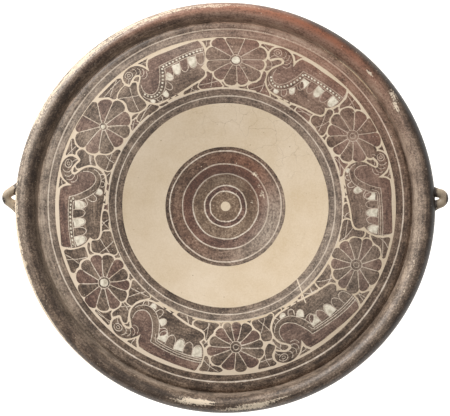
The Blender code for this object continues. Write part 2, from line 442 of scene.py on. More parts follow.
def drawBird(middle, span, facing, feathers, dotShare, seed):
    source = random.Random(seed)
    place = birdPlacer(middle, span, facing, source)
    addOutline(place(runsThrough(birdShape["body"])), slip)

    # bow of the wing, down the breast
    outer, inner = (np.vstack([runsThrough([birdShape[side][:4], birdShape[side][3:]]), birdShape[side][-1]])
                    for side in ("bandOuter", "bandInner"))
    bow = np.vstack([outer, birdShape["bowEnd"], curveThrough(birdShape["bowBack"], 1.0), [(6.5, 32.2)]])
    addOutline(place(bow), purple)
    addScratch(place(outer))
    addScratch(place(inner))
    if dotShare == 0:           # a third line where the band has no dots
        beside = outer[np.linspace(0, len(outer) - 1, len(inner)).astype(int)]
        third = inner + (beside - inner) * 0.45
        addScratch(place(third[:int(len(third) * 0.55)]), "edge")

    # white dots in the band
    steps = 26
    for i in range(1, steps):
        share = i / steps
        if share > dotShare + 0.02:
            break
        spot = (outer[int(share * (len(outer) - 1))] + inner[int(share * (len(inner) - 1))]) / 2
        addOutline(place(ovalAround(spot, (0.82, 0.66), 0.3, 9, 0.18, source)), white)

    # feathers below the band, on the slant, and small ones under the breast
    places = []
    for i in range(5):
        u = 8.6 + 6.1 * i
        places.append(((u, 25.2 - 0.13 * (u - 8)), (0.05, -1), 5.9, 8.8 - 0.5 * abs(i - 1.5)))
    for feather, tag in zip(places + birdShape["breastFeathers"], feathers):
        drawFeather(place, source, *feather, tag)

    # rear edge of the wing and the head
    addScratch(place(curveThrough(birdShape["wingEnd"])), "edge")
    eye = birdShape["eye"]
    addScratch(place(curveThrough(ovalAround(eye, (2.5, 2.4), 0, 10), 0.6, True)))
    addScratch(place(curveThrough(ovalAround(eye, (1.0, 1.0), 0, 8), 0.4, True)), "small")
    for (x, y), turn, size in birdShape["neckLines"]:
        turns = [math.radians(turn - 62 + 124 * i / 6) for i in range(7)]
        run = [(x + 1.2 + size * math.cos(t), y + size * math.sin(t)) for t in turns]
        addScratch(place(curveThrough(run)), "quick")
    addScratch(place(curveThrough(birdShape["beakLine"])), "small")

    # two short legs and their toes
    for u in birdShape["legs"]:
        leg = [(u, 3.2), (u + 1.6, 3.0), (u + 1.0, 1.4), (u + 3.4, 0.7), (u - 1.2, 0.7), (u - 0.4, 1.5)]
        addOutline(place(leg), slip)


rosettes = [
    # middle in degrees, its radius, half widths along the radius and round the ring, petals, middle
    (28.9, 101.4, 18.6, 19.6, 11, "dark"),
    (85.9, 102.6, 18.6, 21.2, 11, "whiteRing"),
    (146.9, 101.6, 19.2, 20.6, 10, "whiteSmall"),
    (212.6, 100.6, 18.4, 20.4, 12, "whiteRing"),
    (274.2, 99.6, 17.8, 20.4, 13, "dark"),
    (335.5, 100.2, 18.2, 20.0, 12, "dark"),
]
rosetteMiddles = {
    # radius of the dark eye, and the white dab on it: place, half widths, points round it, unevenness
    "dark": (4.0, None),
    "whiteRing": (4.1, ((0, 0), (2.9, 2.8), 16, 0.05)),
    "whiteSmall": (2.6, ((0.3, 0), (1.5, 1.4), 12, 0.08)),
}


def drawRosette(index, angle, radius, tall, wide, petals, middle):
    source = random.Random(90 + index)
    base = math.radians(angle)
    turnStart = source.uniform(0, math.tau / petals)
    edges = [turnStart + math.tau * (i + source.uniform(-0.1, 0.1)) / petals for i in range(petals)]

    def place(points):
        pts = np.atleast_2d(np.array(points, float))
        r = np.clip(radius + pts[:, 1], frieze["inner"], frieze["outer"])
        return polar(base + pts[:, 0] / frieze["meanRadius"], r)

    for i in range(petals):
        a, b = edges[i], edges[(i + 1) % petals] + (math.tau if i == petals - 1 else 0)
        half = (b - a) / 2
        swell = source.uniform(0.94, 1.04)
        rim = []
        for j in range(13):      # a petal's round end, with a sharp notch beside it
            t = math.sin(math.pi / 2 * (-1 + 2 * j / 12))
            reach = swell * (0.83 + 0.17 * math.sqrt(max(0.0, 1 - abs(t) ** 2.3)))
            turn = (a + b) / 2 + half * t * 0.99
            rim.append((wide * reach * math.cos(turn), tall * reach * math.sin(turn)))
        petal = np.vstack([[(0.0, 0.0)], curveThrough(rim, 0.8)])
        addOutline(place(petal), purple if i % 2 else slip)
    eye, dab = rosetteMiddles[middle]
    for a in edges:
        dx, dy = math.cos(a), math.sin(a)
        run = [(dx * eye * 1.02, dy * eye * 1.02), (dx * wide * 0.5, dy * tall * 0.5),
               (dx * wide * 0.82, dy * tall * 0.82)]
        addScratch(place(curveThrough(run)), "petal")
    addOutline(place(ovalAround((0, 0), (eye, eye), 0, 20)), slip)
    addScratch(place(curveThrough(ovalAround((0, 0), (eye, eye), 0, 16), 0.6, True)))
    if dab:
        spot, radii, count, wobble = dab
        addOutline(place(ovalAround(spot, radii, 0, count, wobble, source)), white)
    else:
        addScratch(place(curveThrough(ovalAround((0, 0), (1.9, 1.9), 0, 12), 0.5, True)), "small")


for bird in birds:
    drawBird(*bird)
for index, values in enumerate(rosettes):
    drawRosette(index, *values)
print("figures drawn:", len(outlines), "outlines,", len(scratches), "scratched lines")

# Splashes of slip fill the ground between the figures, each up to an even gap from its neighbours
ground = {
    "cell": 0.25,              # of the map that keeps account of what is free
    "largest": 11.0,           # a splash, from its middle
    "smallest": 0.95,
    "rays": 26,                # along which a splash spreads
    "evenness": (1.8, 1.4),    # a ray goes on past its shorter neighbour by this factor and this much
    "sweeps": 60,
    "tries": 400,              # in each sweep, among the spots nearly as free as the freest one
    "nearly": 0.72,
    "farthest": 22,            # cells that the search looks round a spot
    "darkShare": 0.85,         # of the splashes; the others are purple-red
    "strokesFrom": (2.0, 3.0),  # mean reach from which a splash gets one and two scratched strokes
    # cells of bare clay beside the inner band, where it hardly shows and where it shows, and beside
    # the outer band
    "stripCells": (1, 4, 6),
    "stripRare": (45, 240),    # degrees between which the inner strip shows less often
}


def grow(mask, steps, corners=True):
    # widens the taken cells, round the ring without an end
    for i in range(steps):
        wide = mask.copy()
        wide |= np.roll(mask, 1, 1) | np.roll(mask, -1, 1)
        wide[1:] |= mask[:-1]
        wide[:-1] |= mask[1:]
        if corners and i % 2:    # every other step goes cornerwise, so that the gap stays round
            wide[1:] |= np.roll(mask, 1, 1)[:-1] | np.roll(mask, -1, 1)[:-1]
            wide[:-1] |= np.roll(mask, 1, 1)[1:] | np.roll(mask, -1, 1)[1:]
        mask = wide
    return mask


def markCells(taken, flat, gap=0):
    # takes the cells under an outline, and those nearer to it than the gap
    height, width = taken.shape
    x0, x1 = int(flat[:, 0].min()) - 2 - gap, int(flat[:, 0].max()) + 3 + gap
    y0, y1 = max(0, int(flat[:, 1].min()) - 2 - gap), min(height, int(flat[:, 1].max()) + 3 + gap)
    xs, ys = np.meshgrid(np.arange(x0, x1) + 0.5, np.arange(y0, y1) + 0.5)
    inside = insidePolygon(np.stack([xs.ravel(), ys.ravel()], axis=1), flat).reshape(xs.shape)
    rows = taken[y0:y1]
    rows[:, np.arange(x0, x1) % width] |= grow(inside, gap, False)


def groundMap():
    # unrolled ring of the zone: True where a figure is
    cell = ground["cell"]
    width = int(round(math.tau * frieze["meanRadius"] / cell))
    height = int(round((friezeOuter - friezeInner) / cell))
    taken = np.zeros((height, width), bool)
    for points, colour in outlines:
        radius = np.hypot(points[:, 0], points[:, 1])
        angle = np.unwrap(np.arctan2(points[:, 1], points[:, 0]))
        flat = np.stack([angle * frieze["meanRadius"] / cell, (radius - friezeInner) / cell], axis=1)
        markCells(taken, flat)
    return taken


def ontoRing(flat):
    # from cells of the unrolled map to the plate
    angle = flat[:, 0] * ground["cell"] / frieze["meanRadius"]
    radius = friezeInner + flat[:, 1] * ground["cell"]
    return polar(angle, np.clip(radius, frieze["inner"], frieze["outer"]))


def leaveStrips(taken):
    # the clay line beside the inner band comes and goes, the outer one is always there
    hidden, shown, outer = ground["stripCells"]
    rareFrom, rareTo = ground["stripRare"]
    width = taken.shape[1]
    for column in range(width):
        turn = column / width * math.tau
        run = noise.noise(Vector((3.5 * math.cos(turn), 3.5 * math.sin(turn), 4.0)))
        shows = run > (0.12 if rareFrom < math.degrees(turn) < rareTo else -0.25)
        taken[:shown if shows else hidden, column] = True
    taken[-outer:] = True


def freeDepth(mask, most):
    depth = np.zeros(mask.shape, np.int16)
    for i in range(most):
        depth[~mask] += 1
        mask = grow(mask, 1)
    return depth


def freeReach(taken, row, column, turns):
    # how far, in mm, a splash may spread along each ray
    height, width = taken.shape
    reach = np.arange(1, int(ground["largest"] / ground["cell"]) + 1)
    rows = np.round(row + np.outer(np.sin(turns), reach)).astype(int)
    columns = np.round(column + np.outer(np.cos(turns), reach)).astype(int)
    hit = taken[np.clip(rows, 0, height - 1), columns % width]
    free = np.where(hit.any(axis=1), hit.argmax(axis=1), len(reach)) * ground["cell"]
    shorter = np.minimum(np.roll(free, 1), np.roll(free, -1))
    factor, more = ground["evenness"]
    return np.minimum(free, shorter * factor + more)


def strokeAcross(row, column, turns, free, source):
    # a quick stroke of the point, right across the splash
    rays = len(turns)
    first = int(source.uniform(0, math.tau) / math.tau * rays)
    second = first + rays // 2 + source.choice((-2, 0, 2))
    start, end = (np.array((column, row)) + np.array((math.cos(turns[i]), math.sin(turns[i]))) * free[i] * 0.9
                  / ground["cell"] for i in (first % rays, second % rays))
    half = (start + end) / 2 + (source.uniform(-3, 3), source.uniform(-3, 3))
    addScratch(ontoRing(curveThrough([start, half, end], 3.0)), "quick")


def fillGround():
    cell, rays = ground["cell"], ground["rays"]
    gap = int(round(frieze["fillGap"] / cell))
    taken = grow(groundMap(), gap)
    leaveStrips(taken)
    source = random.Random(31)
    turns = np.array([math.tau * i / rays for i in range(rays)])
    made = 0
    for sweep in range(ground["sweeps"]):
        depth = freeDepth(taken, ground["farthest"])
        best = int(depth.max())
        if best * cell < ground["smallest"]:
            break
        spots = np.argwhere(depth >= max(best * ground["nearly"], 2))
        order = list(range(len(spots)))
        source.shuffle(order)
        for k in order[:ground["tries"]]:
            row, column = spots[k]
            if taken[row, column]:
                continue
            free = freeReach(taken, row, column, turns)
            if free.mean() < ground["smallest"]:
                taken[row, column] = True
                continue
            reach = (free * 0.97 + 0.02) / cell
            shape = [(column + math.cos(t) * r, row + math.sin(t) * r) for t, r in zip(turns, reach)]
            flat = curveThrough(shape, 3.0, True)
            addOutline(ontoRing(flat), slip if source.random() < ground["darkShare"] else purple)
            for limit in ground["strokesFrom"]:
                if free.mean() > limit:
                    strokeAcross(row, column, turns, free, source)
            markCells(taken, flat, gap)
            made += 1
    return made


print("splashes in the ground:", fillGround())


def spreadPoints():
    # points between the drawn ones, close enough for the surface to keep its curve
    spacing = frieze["fillSpacing"]
    around, across = frieze["fillJitter"]
    source = random.Random(8)
    points = []
    rows = int((friezeOuter - friezeInner) / spacing)
    for j in range(1, rows):
        radius = friezeInner + j * (friezeOuter - friezeInner) / rows
        count = int(math.tau * radius / spacing)
        for i in range(count):
            angle = (i + 0.5 * (j % 2) + source.uniform(-around, around)) / count * math.tau
            r = radius + source.uniform(-across, across)
            points.append(Vector((r * math.cos(angle), r * math.sin(angle))))
    return points


def chooseColours(centres, ribbons):
    chosen = np.full(len(centres), clay)
    for polygon, colour in outlines + [(ribbon, scratch) for ribbon in ribbons]:
        low, high = polygon.min(axis=0), polygon.max(axis=0)
        near = np.nonzero(np.all((centres >= low) & (centres <= high), axis=1))[0]
        if len(near):
            hits = near[insidePolygon(centres[near], polygon)]
            if colour == scratch:        # a line shows only where it goes through paint
                hits = hits[chosen[hits] != clay]
            chosen[hits] = colour
    return chosen


def buildFrieze():
    # one flat triangulation holds every outline and line, then it is laid on the dish's curve
    count = dish["segments"]
    points, edges, sunk = [], [], set()

    def addRun(run, closed):
        start = len(points)
        points.extend(Vector((float(x), float(y))) for x, y in run)
        edges.extend((start + i, start + i + 1) for i in range(len(run) - 1))
        if closed:
            edges.append((start + len(run) - 1, start))
        return start

    steps = np.arange(count) * math.tau / count
    for radius in (friezeInner, friezeOuter):
        addRun(polar(steps, np.full(count, radius)), True)
    for run, colour in outlines:
        addRun(run, True)
    ribbons = []
    for run, width in scratches:
        if len(run) < 3:
            continue
        ribbon = np.vstack([offsetRun(run, width / 2), offsetRun(run, -width / 2)[::-1]])
        radius = np.hypot(ribbon[:, 0], ribbon[:, 1])
        scale = np.clip(radius, frieze["inner"] - 0.2, frieze["outer"] + 0.2) / radius
        ribbon = ribbon * scale[:, None]
        addRun(ribbon, True)
        ribbons.append(ribbon)
        start = addRun(run[1:-1], False)
        sunk.update(range(start, start + len(run) - 2))
    points.extend(spreadPoints())

    drawn = delaunay_2d_cdt(points, edges, [], 0, 0.0005, True)
    flatPoints, faces, fromPoints = drawn[0], drawn[2], drawn[3]
    coords = np.array([(p.x, p.y) for p in flatPoints])
    triangles = np.array([f for f in faces if len(f) == 3])
    centres = coords[triangles].mean(axis=1)
    keep = np.hypot(centres[:, 0], centres[:, 1]) > friezeInner * math.cos(math.pi / count) - 0.001
    triangles = triangles[keep]
    chosen = chooseColours(centres[keep], ribbons)

    height = topHeight(np.hypot(coords[:, 0], coords[:, 1]))
    for i, sources in enumerate(fromPoints):
        if any(s in sunk for s in sources):
            height[i] -= frieze["lineDepth"]
    used = np.unique(triangles)
    remap = np.full(len(coords), -1)
    remap[used] = np.arange(len(used))
    corners = [(x * mm, y * mm, z * mm) for (x, y), z in zip(coords[used], height[used])]
    mesh = bpy.data.meshes.new("paintedZone")
    mesh.from_pydata(corners, [], remap[triangles].tolist())
    mesh.polygons.foreach_set("material_index", chosen.astype(np.int32))
    # the triangulation may give clockwise faces: the painted side is up
    mesh.update()
    if sum(p.normal.z for p in mesh.polygons) < 0:
        mesh.flip_normals()
    piece = bpy.data.objects.new("paintedZone", mesh)
    bpy.context.scene.collection.objects.link(piece)
    return piece


paintedZone = buildFrieze()
print("painted zone:", len(paintedZone.data.polygons), "triangles")

# materials

# node colours are named once here, and each material below is built from them
paint = {
    "clay": "dccab2",
    "clayShade": "c7b08e",
    "clayGround": "e5d3be",    # the clay between the figures, paler where slip dust lies on it
    "clayDirt": "937b5f",
    # dark stain on the clay, and painted shade where the dark field lies on the lip's shaded side
    "clayStainAndShade": "5f4c38",
    "under": "c4b196",
    "underShade": "a8937a",
    "slipDark": "33251b",
    "slip": "6b5645",
    "slipPale": "aa937d",
    "slipRed": "99583a",
    "purple": "6e4e41",
    "purpleDark": "432f27",
    "purplePale": "a68a76",
    "wash": "836a54",
    "washDark": "564131",
    "washPale": "b6a087",
    "dustAndSheen": "bfae9c",          # pale dust left on the slip, and painted sheen
    # dark stain on the slip, and painted shade on the lip's faces turned from the light
    "stainAndShade": "291f17",
    "white": "e6dcc8",
    "whiteShade": "a3957f",
    "scratch": "dfd0bd",
    "scratchShade": "b3a08c",
    "scratchPale": "eaded0",
    "paper": "f6f5f2",
}
longScratch = {
    # one deep scratch across the bands, from and to, in mm from the axis
    "from": (50.1, -49.8),
    "to": (56.1, -66.4),
    "width": 0.8,
}


def addNode(tree, kind, inputs=None, **settings):
    # adds and sets a node, fills or links its inputs, and gives its outputs
    node = tree.nodes.new("ShaderNode" + kind)
    for name, value in settings.items():
        setattr(node, name, value)
    for name, value in (inputs or {}).items():
        if isinstance(value, bpy.types.NodeSocket):
            tree.links.new(value, node.inputs[name])
        else:
            node.inputs[name].default_value = hexColour(value) if isinstance(value, str) else value
    return node.outputs


def startMaterial(name, roughness, specular):
    material = bpy.data.materials.new(name)
    material.use_nodes = True
    shader = material.node_tree.nodes["Principled BSDF"]
    for socket, value in {"Roughness": roughness, "Specular IOR Level": specular, "IOR": 1.5}.items():
        shader.inputs[socket].default_value = value
    return material, shader


def finishMaterial(tree, shader, colour, surface, strength, depth):
    # the finest relief, some tenths of a millimetre or less, is only in the shading
    bump = addNode(tree, "Bump", {"Strength": strength, "Distance": depth * mm, "Height": surface})
    tree.links.new(colour, shader.inputs["Base Color"])
    tree.links.new(bump[0], shader.inputs["Normal"])


def layCoats(tree, body, coats):
    # each coat covers what is below it by its share
    for share, colour in coats:
        body = addNode(tree, "Mix", {0: share, 6: body, 7: colour}, data_type="RGBA")[2]
    return body


def inMillimetres(tree):
    place = addNode(tree, "TexCoord")["Object"]
    return addNode(tree, "VectorMath", {0: place, 1: (1 / mm,) * 3}, operation="MULTIPLY")[0]


def roundWheel(tree, inMm):
    # coordinates that run round the plate as it turned under the brush: a streak is 1 to 3 mm wide
    # and runs on for 7 to 16 degrees of the turn
    flat = addNode(tree, "VectorMath", {0: inMm, 1: (1, 1, 0)}, operation="MULTIPLY")[0]
    radius = addNode(tree, "VectorMath", {0: flat}, operation="LENGTH")["Value"]
    around = addNode(tree, "VectorMath", {0: flat}, operation="NORMALIZE")[0]
    wide = addNode(tree, "VectorMath", {0: around, 1: (9, 9, 0)}, operation="MULTIPLY")[0]
    up = addNode(tree, "CombineXYZ", {"Z": radius})[0]
    return addNode(tree, "VectorMath", {0: wide, 1: up}, operation="ADD")[0]


def scratchMask(tree, inMm):
    # 1 on the long scratch, 0 elsewhere
    start, end = Vector(longScratch["from"] + (0,)), Vector(longScratch["to"] + (0,))
    along, half = (end - start).normalized(), (end - start).length / 2
    across = Vector((-along.y, along.x, 0))
    local = addNode(tree, "VectorMath", {0: inMm, 1: start}, operation="SUBTRACT")[0]
    run = addNode(tree, "VectorMath", {0: local, 1: along}, operation="DOT_PRODUCT")["Value"]
    side = addNode(tree, "VectorMath", {0: local, 1: across}, operation="DOT_PRODUCT")["Value"]
    inRun = addNode(tree, "Math", {0: run, 1: half, 2: half}, operation="COMPARE")[0]
    inLine = addNode(tree, "Math", {0: side, 1: 0.0, 2: longScratch["width"] / 2}, operation="COMPARE")[0]
    height = addNode(tree, "SeparateXYZ", {"Vector": inMm})["Z"]
    onTop = addNode(tree, "Math", {0: height, 1: topLevel}, operation="GREATER_THAN")[0]
    crossed = addNode(tree, "Math", {0: inRun, 1: inLine}, operation="MULTIPLY")[0]
    return addNode(tree, "Math", {0: crossed, 1: onTop}, operation="MULTIPLY")[0]


# the last argument scales the dark field, which is stain and painted shade
def slipMaterial(name, dark, middle, pale, wearStart, roughness, stainAndShadeAmount=1.0):
    # thin iron slip, brushed on while the plate turned: mottled, thin on high grain, worn to the clay
    material, shader = startMaterial(name, roughness, 0.45)
    tree = material.node_tree
    inMm = inMillimetres(tree)
    wheel = roundWheel(tree, inMm)
    wearAndSheen, red, dustAndSheen, stainAndShade, unpainted = (addNode(tree, "Attribute", attribute_name=field)["Fac"]
                                        for field in ("wearAndSheen", "redFiring", "dustAndSheen", "stainAndShade", "unpainted"))
    # the grit of the body is 0.3 mm; its grain is drawn as 1 mm so that it shows at this size
    cloud, streak, grain = (
        addNode(tree, "TexNoise", {"Vector": at, "Scale": scale, "Detail": fine, "Roughness": rough})["Fac"]
        for at, scale, fine, rough in ((inMm, 0.08, 7, 0.7), (wheel, 0.85, 4, 0.7), (inMm, 0.75, 3, 0.8)))
    # body of the colour: clouds of firing and streaks of the brush
    tone = cloud
    for part, weight in ((streak, 0.7), (grain, 1.1)):
        tone = addNode(tree, "Math", {0: part, 1: weight, 2: tone}, operation="MULTIPLY_ADD")[0]
    deep, thin, redCloud, dustAndSheenCloud = (
        addNode(tree, "MapRange", {"Value": tone, 1: low, 2: high, 3: start, 4: end})[0]
        for low, high, start, end in ((1.2, 1.54, 0, 1), (1.42, 1.8, 0, 0.9), (1.0, 1.5, 0, 1),
                                      (1.15, 1.65, 0.2, 1.2)))
    # the pale field is dust and painted sheen, the dark one stain and painted shade, both only as colour
    redPart, dustAndSheenPart, stainAndShadePart = (
        addNode(tree, "Math", {0: field, 1: share}, operation="MULTIPLY", use_clamp=True)[0]
        for field, share in ((red, redCloud), (dustAndSheen, dustAndSheenCloud), (stainAndShade, stainAndShadeAmount)))
    edge = addNode(tree, "Math", {0: grain, 1: 0.5, 2: unpainted}, operation="MULTIPLY_ADD")[0]
    edge = addNode(tree, "MapRange", {"Value": edge, 1: 0.72, 2: 0.78}, interpolation_type="SMOOTHSTEP")[0]
    under = layCoats(tree, paint["underShade"], [(deep, paint["under"])])
    body = layCoats(tree, dark, [(deep, middle), (thin, pale), (redPart, paint["slipRed"]),
                                 (dustAndSheenPart, paint["dustAndSheen"]), (edge, under), (stainAndShadePart, paint["stainAndShade"])])
    # wear and painted sheen: the clay shows where grain, streak and the listed rubbing and sheen spots add up
    rubAndSheen = addNode(tree, "Math", {0: grain, 1: 0.7}, operation="MULTIPLY")[0]
    for field, weight in ((wearAndSheen, 0.62), (streak, 0.65)):
        rubAndSheen = addNode(tree, "Math", {0: field, 1: weight, 2: rubAndSheen}, operation="MULTIPLY_ADD")[0]
    bare = addNode(tree, "MapRange", {"Value": rubAndSheen, 1: wearStart, 2: wearStart + 0.1},
                   interpolation_type="SMOOTHSTEP")[0]
    bare = addNode(tree, "Math", {0: bare, 1: scratchMask(tree, inMm)}, operation="MAXIMUM")[0]
    # pinholes and flecks, up to 0.8 mm across, where grit broke the slip
    cells = addNode(tree, "TexVoronoi", {"Vector": inMm, "Scale": 0.48})
    size = addNode(tree, "MapRange", {"Value": cells["Color"], 1: 0.42, 2: 1.0, 4: 0.2})[0]
    fleck = addNode(tree, "Math", {0: cells["Distance"], 1: size}, operation="LESS_THAN")[0]
    bare = addNode(tree, "Math", {0: fleck, 1: 0.7, 2: bare}, operation="MULTIPLY_ADD", use_clamp=True)[0]
    colour = layCoats(tree, body, [(bare, paint["clay"])])
    rough = addNode(tree, "MapRange", {"Value": bare, 3: roughness, 4: 0.82})[0]
    tree.links.new(rough, shader.inputs["Roughness"])
    surface = addNode(tree, "Math", {0: streak, 1: 0.6, 2: grain}, operation="MULTIPLY_ADD")[0]
    finishMaterial(tree, shader, colour, surface, 0.8, 0.18)
    return material


def clayMaterial(name, light, shade, cracked):
    # fine buff clay, wiped smooth on the wheel: dry and chalky, with faint clouds and dark grit
    material, shader = startMaterial(name, 0.85, 0.25)
    tree = material.node_tree
    inMm = inMillimetres(tree)
    wheel = roundWheel(tree, inMm)
    dust, crackle, stainAndShade = (addNode(tree, "Attribute", attribute_name=field)["Fac"]
                           for field in ("groundDust", "crackle", "stainAndShade"))
    cloud, grain, streak = (
        addNode(tree, "TexNoise", {"Vector": at, "Scale": scale, "Detail": fine, "Roughness": rough})["Fac"]
        for at, scale, fine, rough in ((inMm, 0.035, 6, 0.6), (inMm, 0.9, 3, 0.7), (wheel, 0.4, 2, 0.5)))
    tone = addNode(tree, "Math", {0: grain, 1: 0.7, 2: cloud}, operation="MULTIPLY_ADD")[0]
    cover = addNode(tree, "MapRange", {"Value": tone, 1: 0.62, 2: 1.12, 4: 0.8})[0]
    # grit of 0.5 mm, drawn as up to 1 mm so that it shows, a few to a square centimetre
    cells = addNode(tree, "TexVoronoi", {"Vector": inMm, "Scale": 0.16})
    grit = addNode(tree, "MapRange", {"Value": cells["Distance"], 1: 0.05, 2: 0.09, 3: 0.75, 4: 0.0})[0]
    some = addNode(tree, "MapRange", {"Value": grain, 1: 0.48, 2: 0.56})[0]
    grit = addNode(tree, "Math", {0: grit, 1: some}, operation="MULTIPLY")[0]
    coats = [(cover, shade), (dust, paint["clayGround"]), (grit, paint["clayDirt"])]
    if cracked:
        # hair cracks about 15 mm apart, filled with dirt
        warp = addNode(tree, "TexNoise", {"Vector": inMm, "Scale": 0.08, "Detail": 3.0})["Color"]
        bent = addNode(tree, "VectorMath", {0: warp, 1: (16, 16, 16), 2: inMm}, operation="MULTIPLY_ADD")[0]
        net = addNode(tree, "TexVoronoi", {"Vector": bent, "Scale": 0.065}, feature="DISTANCE_TO_EDGE")
        line = addNode(tree, "MapRange", {"Value": net["Distance"], 1: 0.004, 2: 0.013, 3: 0.42, 4: 0.0})[0]
        line = addNode(tree, "Math", {0: line, 1: crackle}, operation="MULTIPLY")[0]
        coats.append((line, paint["clayDirt"]))
    # dark stain, and painted shade on the lip's faces turned from the light, from the dark field
    stainAndShadeAmount = addNode(tree, "MapRange", {"Value": grain, 1: 0.3, 2: 0.6})[0]
    stainAndShadeAmount = addNode(tree, "Math", {0: stainAndShade, 1: stainAndShadeAmount}, operation="MULTIPLY", use_clamp=True)[0]
    colour = layCoats(tree, light, coats + [(stainAndShadeAmount, paint["clayStainAndShade"])])
    surface = addNode(tree, "Math", {0: streak, 1: 1.5, 2: grain}, operation="MULTIPLY_ADD")[0]
    finishMaterial(tree, shader, colour, surface, 0.5, 0.12)
    return material


def whiteMaterial():
    # white clay slip dabbed over the dark: thick, chalky, rubbed through in places
    material, shader = startMaterial("white clay slip", 0.8, 0.3)
    tree = material.node_tree
    cloud = addNode(tree, "TexNoise", {"Vector": inMillimetres(tree), "Scale": 0.3, "Detail": 4.0,
                                       "Roughness": 0.65})["Fac"]
    cover = addNode(tree, "MapRange", {"Value": cloud, 1: 0.42, 2: 0.68, 4: 0.8})[0]
    colour = layCoats(tree, paint["white"], [(cover, paint["whiteShade"])])
    finishMaterial(tree, shader, colour, cloud, 0.6, 0.1)
    return material


# in the order of the numbers that the bands use
materials = [
    clayMaterial("wiped buff clay", paint["clay"], paint["clayShade"], True),
    slipMaterial("iron slip", paint["slipDark"], paint["slip"], paint["slipPale"], 0.98, 0.46),
    slipMaterial("purple-red slip", paint["purpleDark"], paint["purple"], paint["purplePale"], 1.0, 0.54),
    whiteMaterial(),
    slipMaterial("line cut through slip", paint["scratchShade"], paint["scratch"], paint["scratchPale"],
                 0.95, 0.8, 0.8),
    slipMaterial("thin washed slip", paint["washDark"], paint["wash"], paint["washPale"], 0.98, 0.55),
    clayMaterial("unpainted buff clay", paint["under"], paint["underShade"], False),
]
print("materials made:", len(materials))

# dish put together

atlas = {
    # the bake map: the top as one disc, the underside as a small one, handles in the corner
    "topMiddle": (0.425, 0.425),
    "topRadius": 0.418,
    "topReach": 170.0,         # of the profile, from the axis, that the top's disc can hold
    "underMiddle": (0.853, 0.853),
    "underRadius": 0.142,
    "handleCorner": (0.885, 0.08),
    "handleScale": 0.0032,     # to a millimetre
    "rightShift": 0.0525,      # of the right handle, beside the left one
    "lowerShift": 0.15,        # of the faces that look down
}


def uvFromRings(mesh, reach, middle, scale, faces):
    # angle from the vertex, distance from the middle from its place along the profile
    layer = mesh.uv_layers.get("OFBake") or mesh.uv_layers.new(name="OFBake")
    data = np.zeros(len(mesh.loops) * 2)
    layer.uv.foreach_get("vector", data)
    data = data.reshape(-1, 2)
    loopVertex = np.empty(len(mesh.loops), np.int32)
    mesh.loops.foreach_get("vertex_index", loopVertex)
    totals = np.empty(len(mesh.polygons), np.int32)
    mesh.polygons.foreach_get("loop_total", totals)
    points = meshPoints(mesh)
    angle = np.arctan2(points[:, 1], points[:, 0])
    chosen = np.repeat(faces, totals)
    vertex = loopVertex[chosen]
    data[chosen, 0] = middle[0] + np.cos(angle[vertex]) * reach[vertex] * scale
    data[chosen, 1] = middle[1] + np.sin(angle[vertex]) * reach[vertex] * scale
    layer.uv.foreach_set("vector", data.ravel())


def mapTop():
    scale = atlas["topRadius"] / atlas["topReach"]
    for mesh in (insideDish.data, paintedZone.data):
        points = meshPoints(mesh)
        faces = np.ones(len(mesh.polygons), bool)
        uvFromRings(mesh, np.hypot(points[:, 0], points[:, 1]), atlas["topMiddle"], scale, faces)
    # the outside was drawn ring by ring, so a vertex's number gives its ring
    mesh = outsideDish.data
    count, last = dish["segments"], len(outsideRings) - 1
    ring = np.minimum(np.arange(len(mesh.vertices)) // count, last)
    steps = [math.dist(a, b) for a, b in zip(outsideRings, outsideRings[1:])]
    fromStart = np.cumsum([0.0] + steps)
    under = fromStart[-1] + outsideRings[-1][0] - fromStart[ring]
    under[-1] = 0.0
    lowest = outsideRings.index(min((p for p in outsideRings if p[0] > lipInner), key=lambda p: p[1]))
    onTop = np.minimum(np.arange(len(mesh.polygons)) // count, last) < lowest
    uvFromRings(mesh, friezeOuter + fromStart[ring], atlas["topMiddle"], scale, onTop)
    scale = atlas["underRadius"] / (under[ring == lowest].max() + 1)
    uvFromRings(mesh, under, atlas["underMiddle"], scale, ~onTop)


offCentre = [
    # the painter's rings stand a little off the rim's middle: radius, x, y
    (0, 0.25, 1.0), (42, 0.25, 1.0), (71.8, 0.15, 1.65), (81.8, 0.2, 1.95), (119.0, 0.1, 1.15),
    (124.3, 0.5, 1.75), (130.1, 0.0, 0.5), (130.6, 0.0, 0.4), (131.2, 0.0, 0.2), (131.7, 0.0, 0.0),
    (400, 0.0, 0.0),
]
chips = [
    # flaked lip: angle in degrees, radius, half spread in degrees and in mm, depth
    (260, 136.4, 6, 2.2, 0.25), (276, 140.5, 7, 1.8, 0.3), (34, 140.8, 2.4, 1.6, 0.35),
    (43, 137.5, 1.6, 1.2, 0.25), (203, 145.8, 0.7, 2.4, 0.9),
]
hand = {
    "wander": 0.45,            # mm, of a painted ring from its circle
    "wanderAround": 2.2,       # how quickly it changes round the plate, and from ring to ring
    "wanderAcross": 0.16,
    "wanderEnd": (130.0, 6.0),  # no more from this radius on, and it fades over so much before
    "paintReach": 131.5,       # the top is shifted as far as here
}


